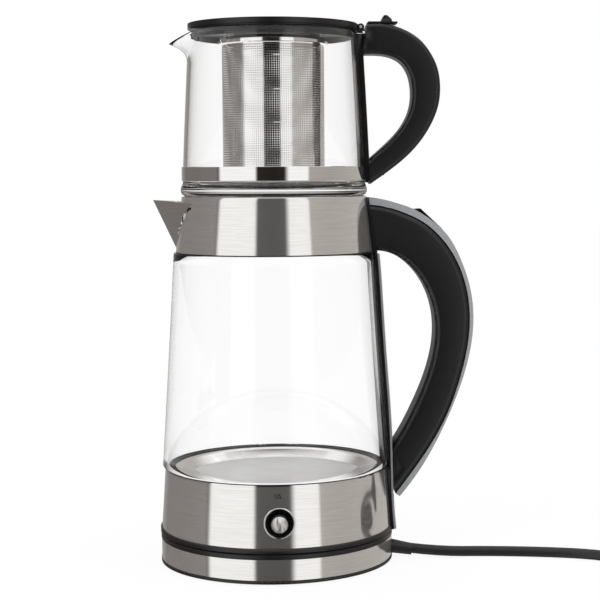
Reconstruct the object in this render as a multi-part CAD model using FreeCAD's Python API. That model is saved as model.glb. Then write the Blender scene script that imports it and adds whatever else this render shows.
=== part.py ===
import FreeCAD, Part
import math
import os
from FreeCAD import Vector

os.makedirs("parts", exist_ok=True)

# Two-tier electric tea maker: a cordless glass kettle on a round power base, with a glass
# teapot standing on the kettle's lid. Millimetres. The origin is on the table under the
# kettle's axis. +X points to the handles, -X to the spouts, and the button faces -Y.

# Clearances
gap = 0.3                 # between pieces that move past each other
pin_fit = 0.08            # radial play of a pin or a shaft in its bore
seam = 0.4                # visible gap between base and kettle
snug = 0.1                # between neighbours that are assembled once

# Power base
base_r = 78.0             # outer radius of the steel ring
sheet = 0.8               # steel sheet of ring, shell, collar and spout
tray_wall = 1.6
tray_lip_out = 0.3        # tray and cover stand this far outside the ring
tray_floor_h = 2.0
ring_h = 13.9
cover_rim_h = 3.1
cover_t = 2.4
foot_stand = 0.8          # rubber feet below the tray
foot_r = 6.0
foot_t = 1.8
foot_count = 4
foot_angle = -118.0       # first foot, seen to the left of the front
centre_pad_r = 12.0
foot_inset = 9.5          # foot centre inside the ring's radius
base_screw_count = 3
base_screw_radius = 58.0
post_r = 4.0
screw_r = 1.5
screw_head_r = 2.9
screw_head_h = 1.2

# Round connector in the middle of the base
plug_r = 15.2             # barrel that enters the kettle
plug_shoulder_r = 17.5
plug_flange_r = 19.8
plug_top_over_cover = 7.2
sleeve_r = 20.2
sleeve_over_cover = 3.6
contact_pin_r = 1.5
contact_slot = (7.2, 9.6)
contact_t = 0.6

# Kettle body
under_rim_out = 0.6       # black underside rim outside the base ring's radius
under_rim_h = 3.4
shell_inset = 0.35        # shell's lower edge inside the ring's radius
shell_taper = 2.65
shell_h = 39.3
plate_t = 0.7
plate_step = 16.5         # plate's flat face inside the shell's top edge
plate_slope = 6.0         # width of the slope from the plate's face to its flange
plate_drop = 6.1          # plate's face below its flange
spreader_step = 8.5       # heat spreader's edge inside the plate's face
spreader_t = 3.0
element_step = 16.5       # middle of the heating element inside the plate's face
element_half = 4.0
element_h = 8.0
gasket_h = 0.8
glass_step = 1.7          # glass foot outside the shell's top edge
glass_taper = 9.1
glass_h = 143.7
glass_wall = 3.0
collar_step = 1.55        # collar's lower edge inside the glass
collar_taper = 4.3
collar_h = 36.6
upper_gasket_h = 0.7

# Kettle spout, folded from sheet
spout_reach = 19.0        # tip outside the collar's top edge
spout_half_angle = 37.0   # where the spout's top edge meets the collar
spout_tip_below_top = 2.1
spout_root_below_top = 4.3
spout_foot_above_collar = 2.9
filter_hole_r = 1.4
filter_hole_pitch = 5.0
filter_hole_step_deg = 5.5

# Button on the lower shell
button_height = 16.2      # centre above the shell's lower edge
bezel_r = 10.0
bezel_t = 0.95
button_r = 8.8
button_front_r = 5.7
cap_r = 5.2
cap_t = 1.4
button_proud = 4.4        # cap's face in front of the bezel
button_travel = 2.5
spring_r = 3.7
spring_wire_r = 0.35
spring_turns = 4.0

# Kettle handle
strap_t = 2.0
strip_t = 1.2             # steel strip on the strap
strap_half_angle = 11.5
grip_half = 13.0
trim_half = 11.5
handle_edge_r = 4.0

# Kettle lid
lid_t = 3.0
lid_rim_w = 31.75         # from the lid's hole to the collar's top edge
liner_w = 7.75            # black ring's inner edge inside the collar's top edge
lid_cut_before_pin = 12.0 # lid's disc ends this far before the hinge pin
lid_pin_x_in = 9.75       # hinge pin inside the collar's top radius
lid_pin_r = 1.5
barrel_r = 3.4
barrel_half = 24.2
ear_t = 3.5
steam_hole_r = 1.5
steam_hole_count = 12
steam_circle_in = 10.0    # circle of holes inside the lid's hole
press_pin_r = 1.0

# Teapot
pot_foot_out = 0.55       # foot outside the collar's top radius
pot_foot_h = 10.2
pot_wall_in = 1.5         # wall inside the foot's radius
pot_taper = 4.9
pot_h = 108.5
pot_wall = 2.4
pot_floor = 4.5
band_h = 9.2
band_t = 0.6
pot_strap_t = 3.5
pot_strap_half_angle = 9.0
pot_grip_half = 11.0
pot_edge_r = 3.0
pot_lid_out = 0.5
pot_lid_t = 3.5
mouth_flange_t = 0.9
mouth_plate_t = 2.4
pot_pin_r = 1.0
slider_travel = 3.0
pot_barrel_r = 2.0

# Infuser
infuser_r = 34.0
infuser_sheet = 0.5
floor_fit = 0.02          # basket's floor in its wall, welded
infuser_lift = 10.7       # basket's floor above the pot's floor
neck_step = 2.1           # neck inside the basket's radius
neck_t = 0.8
neck_h = 3.6
neck_flange_out = 2.7     # flange outside the basket's radius
neck_flange_h = 4.0

# Mains cord
cord_r = 3.5
cord_angle = -6.0         # direction in plan where it leaves the base
cord_tilt = 9.0           # downwards
cord_exit_height = 7.4
gland_out = 14.0
gland_in = 9.0
coil_r = 42.0             # first turn of the stored coil
coil_pitch = 7.6
plug_len = 36.0
plug_front_r = 18.3
prong_r = 2.4
prong_len = 19.0
prong_half_spacing = 9.5

# Heights, from the table up
z_tray = foot_stand
z_ring = z_tray + tray_floor_h
z_cover = z_ring + ring_h
z_base_top = z_cover + cover_rim_h
z_under = z_base_top + seam
z_shell = z_under + under_rim_h
z_flange = z_shell + shell_h
z_gasket = z_flange + plate_t
z_glass = z_gasket + gasket_h
z_glass_top = z_glass + glass_h
z_collar = z_glass_top + upper_gasket_h
z_top = z_collar + collar_h
z_pot = z_top + gap
z_rim = z_pot + pot_h
z_mouth = z_rim + gap
z_pot_lid = z_mouth + mouth_flange_t + gap

# Radii that follow
ring_in_r = base_r - sheet
tray_r = base_r + tray_lip_out
wall_r = ring_in_r - snug
shell_r = base_r - shell_inset
shell_top_r = shell_r - shell_taper
glass_r = shell_top_r + glass_step
glass_top_r = glass_r - glass_taper
collar_r = glass_top_r - collar_step
top_r = collar_r - collar_taper
pot_foot_r = top_r + pot_foot_out
pot_r = pot_foot_r - pot_wall_in
rim_r = pot_r - pot_taper
pot_lid_r = rim_r + pot_lid_out
plate_r = shell_top_r - plate_step
lid_hole_r = top_r - lid_rim_w
neck_r = infuser_r - neck_step
neck_flange_r = infuser_r + neck_flange_out
band_in_r = pot_r + snug


def shell_radius(z):
    return shell_r - shell_taper * (z - z_shell) / shell_h


def collar_radius(z):
    return collar_r - collar_taper * (z - z_collar) / collar_h


def glass_radius(z):
    share = (z - z_glass) / glass_h
    return glass_top_r + glass_taper * max(0.0, 1.0 - share) ** 1.08


def pot_radius(z):
    share = (z - z_pot - pot_foot_h) / (pot_h - pot_foot_h)
    return pot_r - pot_taper * max(0.0, share) ** 1.15


def xz(point):
    return Vector(point[0], 0.0, point[1])


# An outline is a list of stretches. A stretch of two points is a line, a longer one is a
# smooth curve, and each starts where the last one ended.
def outline_face(stretches):
    edges = []
    for stretch in stretches:
        points = [xz(p) for p in stretch]
        if len(points) == 2:
            edges.append(Part.LineSegment(points[0], points[1]).toShape())
        else:
            curve = Part.BSplineCurve()
            curve.interpolate(points)
            edges.append(curve.toShape())
    last = xz(stretches[-1][-1])
    first = xz(stretches[0][0])
    if last.distanceToPoint(first) > 1e-6:
        edges.append(Part.LineSegment(last, first).toShape())
    return Part.Face(Part.Wire(edges))


def polygon_face(points):
    corners = [xz(p) for p in points]
    return Part.Face(Part.makePolygon(corners + [corners[0]]))


def turned(face, sweep=360.0, start=0.0):
    solid = face.revolve(Vector(0, 0, 0), Vector(0, 0, 1), sweep)
    solid.rotate(Vector(0, 0, 0), Vector(0, 0, 1), start)
    return solid


def ring(points):
    return turned(polygon_face(points))


def slab(face, half):
    solid = face.extrude(Vector(0, 2 * half, 0))
    solid.translate(Vector(0, -half, 0))
    return solid


def tube(r_out, r_in, z0, z1):
    solid = Part.makeCylinder(r_out, z1 - z0, Vector(0, 0, z0))
    if r_in > 0:
        solid = solid.cut(Part.makeCylinder(r_in, z1 - z0, Vector(0, 0, z0)))
    return solid


def rod_x(r, x0, x1, y, z):
    return Part.makeCylinder(r, x1 - x0, Vector(x0, y, z), Vector(1, 0, 0))


def rod_y(r, y0, y1, x, z):
    return Part.makeCylinder(r, y1 - y0, Vector(x, y0, z), Vector(0, 1, 0))


def rod_z(r, z0, z1, x, y):
    return Part.makeCylinder(r, z1 - z0, Vector(x, y, z0))


def box(x0, x1, y0, y1, z0, z1):
    return Part.makeBox(x1 - x0, y1 - y0, z1 - z0, Vector(x0, y0, z0))


def around(count, radius, first):
    for i in range(count):
        a = math.radians(first + 360.0 * i / count)
        yield radius * math.cos(a), radius * math.sin(a)


def joined(first, *others):
    solid = first
    for other in others:
        solid = solid.fuse(other)
    return solid.removeSplitter()


def cut_all(solid, cutters):
    for cutter in cutters:
        solid = solid.cut(cutter)
    return solid


def save(node, *solids):
    shape = solids[0] if len(solids) == 1 else Part.makeCompound(list(solids))
    if not shape.isValid():
        print("not valid:", node)
    print("%-20s solids %d volume %.1f" % (node, len(shape.Solids), shape.Volume))
    shape.exportStep("parts/%s.step" % node)
    return shape


# Two arcs that leave p0 along t0 and reach p1 along t1
def biarc(p0, t0, p1, t1):
    v = p1 - p0
    t = t0 + t1
    a = 2.0 * (1.0 - t0.dot(t1))
    b = v.dot(t)
    c = v.dot(v)
    d = c / (2.0 * b) if abs(a) < 1e-9 else (-b + math.sqrt(b * b + a * c)) / a
    q0 = p0 + t0 * d
    q1 = p1 - t1 * d
    middle = (q0 + q1) * 0.5
    return [arc_in_corner(p0, q0, middle), arc_in_corner(middle, q1, p1)]


# The arc that touches p0-corner at p0 and corner-p1 at p1
def arc_in_corner(p0, corner, p1):
    chord_middle = (p0 + p1) * 0.5
    height = (corner - chord_middle).Length
    half_chord = (p1 - p0).Length * 0.5
    if height < 1e-6:
        return Part.LineSegment(p0, p1).toShape()
    angle = math.atan2(height, half_chord)
    radius = half_chord / math.sin(angle)
    rise = radius * (1.0 - math.cos(angle))
    top = chord_middle + (corner - chord_middle) * (rise / height)
    return Part.Arc(p0, top, p1).toShape()


def swept_tube(edges, radius):
    wire = Part.Wire(edges)
    start = edges[0].valueAt(edges[0].FirstParameter)
    along = edges[0].tangentAt(edges[0].FirstParameter)
    profile = Part.Wire([Part.makeCircle(radius, start, along)])
    solid = wire.makePipeShell([profile], True, False)
    if solid.Volume < 0:
        solid.reverse()
    print("    tube length %.1f volume over section x length %.4f"
          % (wire.Length, solid.Volume / (math.pi * radius ** 2 * wire.Length)))
    return solid


# Straight runs joined by arcs as large as the runs allow
def routed_tube(points, radius):
    edges = []
    here = points[0]
    radii = []
    for before, corner, after in zip(points, points[1:], points[2:]):
        run_in = (corner - before).Length
        run_out = (after - corner).Length
        to_corner = (corner - before) * (1.0 / run_in)
        from_corner = (after - corner) * (1.0 / run_out)
        cut = 0.45 * min(run_in, run_out)
        half_turn = to_corner.getAngle(from_corner) / 2.0
        radii.append(cut / math.tan(half_turn))
        start = corner - to_corner * cut
        end = corner + from_corner * cut
        edges.append(Part.LineSegment(here, start).toShape())
        edges.append(arc_in_corner(start, corner, end))
        here = end
    edges.append(Part.LineSegment(here, points[-1]).toShape())
    print("    arc radii", ["%.0f" % r for r in radii])
    return swept_tube(edges, radius)


# Least distance between parts of a wound line that are over half a turn apart
def self_gap(points, skip, diameter):
    least = 1e9
    for i in range(len(points)):
        for j in range(i + skip, len(points)):
            least = min(least, (points[j] - points[i]).Length)
    return least - diameter


# A helical spring along Y, with its ends running straight for one wire diameter
def helix_spring(mean_r, wire_r, turns, start, length):
    steps = int(turns * 4)
    lift = length / turns

    def at(n):
        a = 2.0 * math.pi * n
        return Vector(mean_r * math.cos(a), mean_r * math.sin(a), lift * n)

    def heading(n):
        a = 2.0 * math.pi * n
        v = Vector(-mean_r * math.sin(a) * 2 * math.pi, mean_r * math.cos(a) * 2 * math.pi, lift)
        return v * (1.0 / v.Length)

    edges = [Part.LineSegment(at(0) - heading(0) * 2 * wire_r, at(0)).toShape()]
    for i in range(steps):
        n0 = turns * i / steps
        n1 = turns * (i + 1) / steps
        edges += biarc(at(n0), heading(n0), at(n1), heading(n1))
    edges.append(Part.LineSegment(at(turns), at(turns) + heading(turns) * 2 * wire_r).toShape())
    solid = swept_tube(edges, wire_r)
    solid.rotate(Vector(0, 0, 0), Vector(1, 0, 0), -90)
    solid.translate(start)
    return solid


# Power base
def screw_up(x, y, z_head, length):
    head = rod_z(screw_head_r, z_head, z_head + screw_head_h, x, y)
    shank = rod_z(screw_r, z_head + screw_head_h, z_head + length, x, y)
    return head.fuse(shank)


def gland_line():
    a = math.radians(cord_angle)
    t = math.radians(cord_tilt)
    along = Vector(math.cos(a) * math.cos(t), math.sin(a) * math.cos(t), -math.sin(t))
    exit_point = Vector(base_r * math.cos(a), base_r * math.sin(a), cord_exit_height)
    return exit_point, along


feet_at = list(around(foot_count, base_r - foot_inset, foot_angle))
base_screws_at = list(around(base_screw_count, base_screw_radius, 90.0))
boss_top = z_ring + 4.2
plug_flange_top = boss_top + 2.0
plug_shoulder_top = z_base_top - 2.5
plug_top = z_base_top + plug_top_over_cover
sleeve_top = z_base_top + sleeve_over_cover
exit_point, exit_dir = gland_line()
gland_hole = Part.makeCylinder(cord_r + 1.3, 30.0, exit_point - exit_dir * 15.0, exit_dir)


def base_tray():
    top = z_cover - snug
    body = ring([(0, z_tray), (tray_r, z_tray), (tray_r, z_ring), (wall_r, z_ring),
                 (wall_r, top), (wall_r - tray_wall, top), (wall_r - tray_wall, z_ring),
                 (plug_flange_r, z_ring), (plug_flange_r, boss_top),
                 (plug_flange_r - 5.0, boss_top), (plug_flange_r - 5.0, z_ring), (0, z_ring)])
    cutters = [gland_hole]
    for x, y in feet_at:
        cutters.append(rod_z(foot_r + snug, z_tray, foot_t, x, y))
    for x, y in base_screws_at:
        cutters.append(rod_z(screw_head_r + snug, z_tray, z_tray + screw_head_h, x, y))
        cutters.append(rod_z(screw_r + snug, z_tray, z_ring, x, y))
    return cut_all(body, cutters)


def base_cover():
    low = z_base_top - cover_t
    hole = sleeve_r + 2 * gap
    edge = 0.6
    body = ring([(hole, low), (wall_r, low), (wall_r, z_cover), (tray_r, z_cover),
                 (tray_r, z_base_top - edge), (tray_r - edge, z_base_top), (hole, z_base_top)])
    for x, y in base_screws_at:
        body = body.fuse(rod_z(post_r, z_ring, low, x, y))
    for x, y in base_screws_at:
        body = body.cut(rod_z(screw_r + pin_fit, z_ring, low - 2.0, x, y))
    return body.removeSplitter()


def base_connector():
    slot_in, slot_out = contact_slot
    floor = plug_flange_top + 4.0
    body = ring([(0, boss_top), (plug_flange_r, boss_top), (plug_flange_r, plug_flange_top),
                 (plug_shoulder_r, plug_flange_top), (plug_shoulder_r, plug_shoulder_top),
                 (plug_r, plug_shoulder_top), (plug_r, plug_top - 1.0), (plug_r - 1.0, plug_top),
                 (0, plug_top)])
    body = body.cut(tube(slot_out, slot_in, floor, plug_top))
    body = body.cut(tube(slot_out, slot_out - contact_t, floor - 2.0, floor))
    body = body.cut(tube(contact_pin_r * 2, 0, floor, plug_top))
    return body.cut(tube(contact_pin_r, 0, floor - 2.0, floor))


def base_contacts():
    floor = plug_flange_top + 4.0
    slot_out = contact_slot[1]
    pin = tube(contact_pin_r, 0, floor - 2.0, plug_top - 2.0)
    band = tube(slot_out, slot_out - contact_t, floor - 2.0, plug_top - 3.0)
    return pin, band


def connector_sleeve():
    low = plug_shoulder_top + gap
    return ring([(plug_r + pin_fit, low), (sleeve_r, low), (sleeve_r, sleeve_top - 0.8),
                 (sleeve_r - 0.8, sleeve_top), (plug_r + pin_fit, sleeve_top)])


# The gland tapers from its flange inside the tray to the cord
def cord_gland():
    hole_r = cord_r + 1.2
    inside = exit_point - exit_dir * gland_in
    outside = exit_point + exit_dir * gland_out
    flange = Part.makeCylinder(hole_r + 2.0, 3.0, inside, exit_dir)
    neck = Part.makeCylinder(hole_r, gland_in - 3.0, inside + exit_dir * 3.0, exit_dir)
    taper = Part.makeCone(hole_r, cord_r + 0.4, gland_out, exit_point, exit_dir)
    body = flange.fuse(neck).fuse(taper)
    bore = Part.makeCylinder(cord_r + 0.15, gland_in + gland_out, inside, exit_dir)
    floor_cut = box(50, 120, -40, 40, -10, z_ring)
    inner = Part.makeCylinder(wall_r - tray_wall, 60.0)
    low_part = floor_cut.common(inner)
    return body.cut(bore).cut(low_part), outside


feet = [rod_z(foot_r, 0.0, foot_t, x, y) for x, y in feet_at]
feet.append(rod_z(centre_pad_r, 0.0, z_tray, 0, 0))
screws = [screw_up(x, y, z_tray, 13.0) for x, y in base_screws_at]
gland, cord_start = cord_gland()

save("base_tray", base_tray())
save("base_ring", tube(base_r, ring_in_r, z_ring, z_cover).cut(gland_hole))
save("base_cover", base_cover())
save("base_feet", *feet)
save("base_screws", *screws)
save("base_connector", base_connector())
save("base_contacts", *base_contacts())
save("connector_sleeve", connector_sleeve())
save("cord_gland", gland)


# Kettle body
socket_r = 26.0
socket_top = z_under + 11.0
sleeve_cavity_top = sleeve_top + 0.8
plug_cavity_top = plug_top + 1.5
plate_face = z_gasket - plate_drop
spreader_low = plate_face - plate_t - spreader_t
element_low = spreader_low - element_h
button_z = z_shell + button_height
bezel_y = -(shell_radius(button_z) + bezel_t)
cap_y = bezel_y - button_proud
button_back_y = bezel_y + 9.5
well_floor_y = bezel_y + 16.5
shaft_end_y = bezel_y + 27.5
switch_y = shaft_end_y + button_travel + 0.3
block_y = switch_y + 9.0
screws_low_z = (z_flange - 12.9, z_flange - 5.9)
screw_high_z = z_collar + 13.2
low_screw_end = shell_r + 5.35
high_screw_end = collar_r + 15.95
bore_from = top_r - 21.75
bore_to = base_r + 32.0


# Everything under one line of radii, for trimming what leans on the body
def solid_under(points):
    return turned(polygon_face([(0, points[0][1])] + points + [(0, points[-1][1])]))


shell_solid = solid_under([(shell_r, z_shell), (shell_top_r, z_flange)])
cone_reach = 12.0
cone_solid = solid_under([(collar_radius(z_collar - cone_reach) + 0.05, z_collar - cone_reach),
                          (collar_radius(z_top + cone_reach) + 0.05, z_top + cone_reach)])


# A spout folded from sheet: two sides that meet in a fold under the tip
def folded_spout(tip, root, foot, thickness):
    reach = 1.3
    root_far = Vector(root.x, -root.y, root.z)
    a = tip + (root - tip) * reach
    b = tip + (root_far - tip) * reach
    c = tip + (foot - tip) * reach
    faces = [[tip, a, b], [tip, b, c], [tip, c, a], [a, c, b]]
    shell = Part.makeShell([Part.Face(Part.makePolygon(f + [f[0]])) for f in faces])
    outer = Part.makeSolid(shell)
    if outer.Volume < 0:
        outer.reverse()
    normal = (root - tip).cross(foot - tip)
    normal.normalize()
    fold = foot - tip
    inward = Vector(-fold.z, 0, fold.x)
    inward.normalize()
    inner = outer.copy()
    inner.translate(inward * (thickness / abs(normal.dot(inward))))
    return outer, inner


spout_tip = Vector(-(top_r + spout_reach), 0, z_top - spout_tip_below_top)
spout_a = math.radians(spout_half_angle)
spout_root = Vector(-top_r * math.cos(spout_a), top_r * math.sin(spout_a),
                    z_top - spout_root_below_top)
spout_foot_z = z_collar + spout_foot_above_collar
spout_foot = Vector(-collar_radius(spout_foot_z) - 0.3, 0, spout_foot_z)
spout_out, spout_in = folded_spout(spout_tip, spout_root, spout_foot, sheet)
screw_hole_low = [rod_x(screw_r + snug, bore_from, bore_to, 0, z) for z in screws_low_z]
screw_hole_high = rod_x(screw_r + snug, bore_from, bore_to, 0, screw_high_z)
button_hole = rod_y(bezel_r - 0.8, -base_r - 22.0, -base_r + 18.0, 0, button_z)


def kettle_underside():
    lip = shell_radius(z_shell + 4.0) - sheet - snug
    rim = base_r + under_rim_out
    return ring([(socket_r + snug, z_under), (rim - 0.5, z_under), (rim, z_under + 0.5),
                 (rim, z_shell), (lip, z_shell), (lip, z_shell + 4.0), (lip - 2.0, z_shell + 4.0),
                 (lip - 2.0, z_under + 2.5), (socket_r + snug, z_under + 2.5)])


def lower_shell():
    body = ring([(shell_r, z_shell), (shell_top_r, z_flange), (shell_top_r - sheet, z_flange),
                 (shell_r - sheet, z_shell)])
    return cut_all(body, [button_hole] + screw_hole_low)


def kettle_socket():
    body = tube(socket_r, sleeve_r + 2 * gap, z_under, sleeve_cavity_top)
    body = body.fuse(tube(socket_r, plug_r + gap, sleeve_cavity_top, plug_cavity_top))
    body = body.fuse(tube(socket_r, 0, plug_cavity_top, socket_top))
    foot = tube(socket_r + 4.0, socket_r - 1.0, z_under + 2.5 + snug, z_under + 5.0)
    return joined(body, foot)


def socket_contacts():
    low = plug_flange_top + 5.0
    slot_in, slot_out = contact_slot
    band = tube(slot_out - contact_t - 0.5, slot_in + 0.5, low, plug_cavity_top)
    centre = tube(contact_pin_r * 2 - 0.5, contact_pin_r + 0.3, low, plug_cavity_top)
    return band, centre


def control_block():
    body = box(-26, 26, block_y, 20, socket_top, element_low)
    dome = rod_z(9.0, element_low, spreader_low, 0, -8.0)
    return joined(body, dome)


def heating_element():
    middle = plate_r - element_step
    section = polygon_face([(middle - element_half, element_low),
                            (middle + element_half, element_low),
                            (middle + element_half - 1.0, spreader_low),
                            (middle - element_half + 1.0, spreader_low)])
    return turned(section, 300.0, -60.0)


def heating_plate():
    edge = shell_top_r - 0.2
    return ring([(0, plate_face), (plate_r, plate_face), (plate_r + plate_slope, z_gasket),
                 (edge, z_gasket), (edge, z_flange), (plate_r + plate_slope + 0.4, z_flange),
                 (plate_r + 0.4, plate_face - plate_t), (0, plate_face - plate_t)])


def kettle_glass():
    heights = [z_glass + glass_h * share for share in (0.0, 0.15, 0.4, 0.7, 1.0)]
    outside = [(glass_radius(z), z) for z in heights]
    inside = [(r - glass_wall, z) for r, z in reversed(outside)]
    return turned(outline_face([outside, [outside[-1], inside[0]], inside]))


def collar():
    body = ring([(collar_r, z_collar), (top_r, z_top), (top_r - sheet, z_top),
                 (collar_r - sheet, z_collar)])
    notch = spout_in.common(box(-base_r - 12.0, 0, -base_r, base_r, z_collar + 4.0, z_top - 7.0))
    return cut_all(body, [notch, screw_hole_high])


def kettle_spout():
    pieces = spout_out.cut(spout_in).cut(cone_solid).Solids
    return max(pieces, key=lambda piece: piece.Volume)


def spout_filter():
    low = z_collar + 2.0
    high = z_top - 10.5
    off = sheet + snug
    section = polygon_face([(collar_radius(low) - off, low), (collar_radius(high) - off, high),
                            (collar_radius(high) - off - 1.0, high),
                            (collar_radius(low) - off - 1.0, low)])
    body = turned(section, 76.0, 142.0)
    holes = []
    for row in range(3):
        z = z_collar + 12.5 + filter_hole_pitch * row
        for i in range(-1 - row, 2 + row):
            hole = rod_x(filter_hole_r, -collar_r - 14.0, -collar_r + 26.0, 0, z)
            hole.rotate(Vector(0, 0, 0), Vector(0, 0, 1), filter_hole_step_deg * i)
            holes.append(hole)
    return cut_all(body, holes)


# Kettle lid and the black ring that carries its hinge
lid_pin_x = top_r - lid_pin_x_in
lid_pin_z = z_top - lid_t - 1.4
lid_cut_x = lid_pin_x - lid_cut_before_pin
lid_r = top_r - sheet - 0.6
lid_low = z_top - lid_t
ear_in = barrel_half - ear_t
liner_low = lid_low - 6.4
liner_top = lid_low - gap


def collar_liner():
    off = sheet + snug
    r_low = collar_radius(liner_low) - off
    r_top = collar_radius(liner_top) - off
    r_in = top_r - liner_w
    body = ring([(r_in, liner_low), (r_low, liner_low), (r_top, liner_top), (r_in, liner_top)])
    body = body.cut(box(lid_cut_x, top_r + 10, -ear_in, ear_in, liner_low, liner_top))
    limit = solid_under([(r_low - 0.6, liner_low - 1.0), (top_r - off - 0.6, z_top - 0.5)])
    for side in (-1, 1):
        y0 = min(side * ear_in, side * barrel_half)
        ear = box(lid_pin_x - 3.6, lid_pin_x + 8, y0, y0 + ear_t, liner_low, lid_pin_z + 3.4)
        body = body.fuse(ear.common(limit))
    return body.removeSplitter().cut(rod_y(lid_pin_r, -30, 30, lid_pin_x, lid_pin_z))


def kettle_lid():
    half = ear_in - gap
    disc = tube(lid_r, lid_hole_r, lid_low, z_top)
    disc = disc.cut(box(lid_cut_x, top_r + 20, -top_r, top_r, lid_low, z_top))
    ledge = tube(lid_hole_r + 3, lid_hole_r - 3, lid_low, lid_low + 1.2)
    tongue = box(lid_cut_x - 2.0, lid_pin_x, -half, half, lid_low - 1.6, lid_pin_z + barrel_r - 0.4)
    barrel = rod_y(barrel_r, -half, half, lid_pin_x, lid_pin_z)
    body = joined(disc, ledge, tongue, barrel)
    return body.cut(rod_y(lid_pin_r + pin_fit, -half, half, lid_pin_x, lid_pin_z))


def lid_insert():
    low = lid_low + 1.2
    body = tube(lid_hole_r - snug, 0, low, low + 0.9)
    holes = [rod_z(steam_hole_r, low, low + 1.0, x, y)
             for x, y in around(steam_hole_count, lid_hole_r - steam_circle_in, 0.0)]
    return cut_all(body, holes)


# Power button
def button_bezel():
    plate = rod_y(bezel_r, bezel_y, bezel_y + 3.0, 0, button_z).cut(shell_solid)
    sleeve = rod_y(bezel_r - 0.9, bezel_y, bezel_y + 6.0, 0, button_z)
    return joined(plate, sleeve).cut(rod_y(button_r, bezel_y, bezel_y + 6.0, 0, button_z))


def button_well():
    front = bezel_y + 1.2
    body = rod_y(button_r - snug, front, well_floor_y + 2.0, 0, button_z)
    body = body.cut(rod_y(button_front_r + gap, front, well_floor_y, 0, button_z))
    body = body.cut(rod_y(7.0, front, front + 1.2, 0, button_z))
    return body.cut(rod_y(2.0 + gap, well_floor_y, well_floor_y + 2.0, 0, button_z))


def power_button():
    body = rod_y(button_front_r, cap_y + cap_t, button_back_y, 0, button_z)
    shaft = rod_y(2.0, button_back_y, shaft_end_y, 0, button_z)
    return joined(body, shaft)


def switch():
    return box(-8, 8, switch_y, block_y, button_z - 5.0, element_low)


# Kettle handle. Its outlines are drawn for these heights and radii, and fitted to the
# ones worked out above.
drawn_under = 20.2
drawn_top = 245.4
drawn_base_r = 78.0
drawn_top_r = 61.75


def fit_z(z):
    return z_under + (z - drawn_under) * (z_top - z_under) / (drawn_top - drawn_under)


def fit_x(x, z):
    share = (z - drawn_under) / (drawn_top - drawn_under)
    low_shift = base_r - drawn_base_r
    return x + low_shift + share * (top_r - drawn_top_r - low_shift)


def fitted(points):
    return [(fit_x(x, z), fit_z(z)) for x, z in points]


def strap_profile(out):
    heights = [z_glass + glass_h * share for share in (0.15, 0.5, 0.85)]
    z_strap_low = z_shell + 19.4
    z_strap_high = z_collar + 19.2
    line = [(shell_radius(z_shell) + out + 0.3, z_under + 0.2),
            (shell_radius(z_strap_low) + out, z_strap_low)]
    line.append((glass_r + out - 0.9, z_glass))
    line += [(glass_radius(z) + out, z) for z in heights]
    line += [(collar_r + out + 0.6, z_collar + 2.0), (collar_radius(z_strap_high) + out, z_strap_high),
             (top_r + out, z_top - 1.0)]
    return line


def strap_inside():
    off = snug
    rim = base_r + under_rim_out + off
    heights = [z_glass + glass_h * share for share in (0.0, 0.15, 0.4, 0.7, 1.0)]
    glass = [(glass_radius(z) + off, z) for z in heights]
    foot_z = z_glass - 0.2
    head_z = z_glass_top + 0.2
    glass[0] = (glass[0][0], foot_z)
    glass[-1] = (glass[-1][0], head_z)
    low = [(rim, z_under + 0.2), (rim, z_shell + off),
           (shell_radius(z_shell + off) + off, z_shell + off),
           (shell_top_r + off, z_flange), (shell_top_r + off, foot_z), glass[0]]
    high = [glass[-1], (collar_radius(head_z) + off, head_z),
            (collar_radius(z_top - 1.0) + off, z_top - 1.0)]
    pairs = [[p, q] for p, q in zip(low, low[1:])]
    pairs.append(glass)
    pairs += [[p, q] for p, q in zip(high, high[1:])]
    return pairs


def handle_strap():
    inside = strap_inside()
    outside = list(reversed(strap_profile(strap_t + snug)))
    face = outline_face(inside + [[inside[-1][-1], outside[0]], outside])
    body = turned(face, 2 * strap_half_angle, -strap_half_angle)
    return cut_all(body, screw_hole_low + [screw_hole_high])


def strap_strip():
    inside = strap_profile(strap_t + 2 * snug)
    outside = list(reversed(strap_profile(strap_t + 2 * snug + strip_t)))
    face = outline_face([inside, [inside[-1], outside[0]], outside])
    strip_angle = strap_half_angle - 1.2
    body = turned(face, 2 * strip_angle, -strip_angle)
    half = grip_half + 0.2
    middle = box(top_r - 12.0, base_r + 22.0, -half, half, fit_z(42.0), fit_z(80.0))
    upper = box(top_r - 12.0, base_r + 22.0, -half, half, fit_z(206.0), fit_z(250.0))
    return cut_all(body, [middle, upper, handle_strap()])


trim_outside = fitted([(60.0, 244.6), (73.9, 242.7), (82.4, 240.3), (92.8, 236.5),
                       (104.5, 229.2), (113.8, 221.0), (124.5, 202.9), (132.0, 178.0),
                       (132.8, 153.8), (126.4, 123.3), (114.2, 92.2), (101.2, 67.3),
                       (83.0, 42.2)])
trim_inside = fitted([(60.0, 239.4), (73.9, 238.0), (88.0, 233.4), (99.1, 227.8),
                      (107.6, 221.0), (121.7, 201.8), (130.1, 172.9), (130.1, 151.4),
                      (124.0, 122.1), (112.6, 92.2), (98.4, 68.6), (80.1, 44.0)])
grip_inside = fitted([(60.0, 207.6), (76.5, 207.3), (90.7, 198.1), (101.9, 181.7),
                      (107.2, 160.0), (105.1, 136.3), (93.4, 104.1), (79.7, 78.9),
                      (70.0, 66.0)])
strap_line = strap_profile(strap_t + 2 * snug)
strap_solid = turned(outline_face([[(0, z_under), strap_line[0]], strap_line,
                                   [strap_line[-1], (0, z_top - 1.0)]]))
release_pivot = fitted([(110.2, 221.9)])[0]
release_line = fitted([(93.2, 236.2), (98.0, 236.7), (112.3, 223.3), (111.9, 220.9),
                       (109.4, 220.3), (104.8, 225.6), (99.5, 230.2), (96.2, 233.6)])
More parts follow.
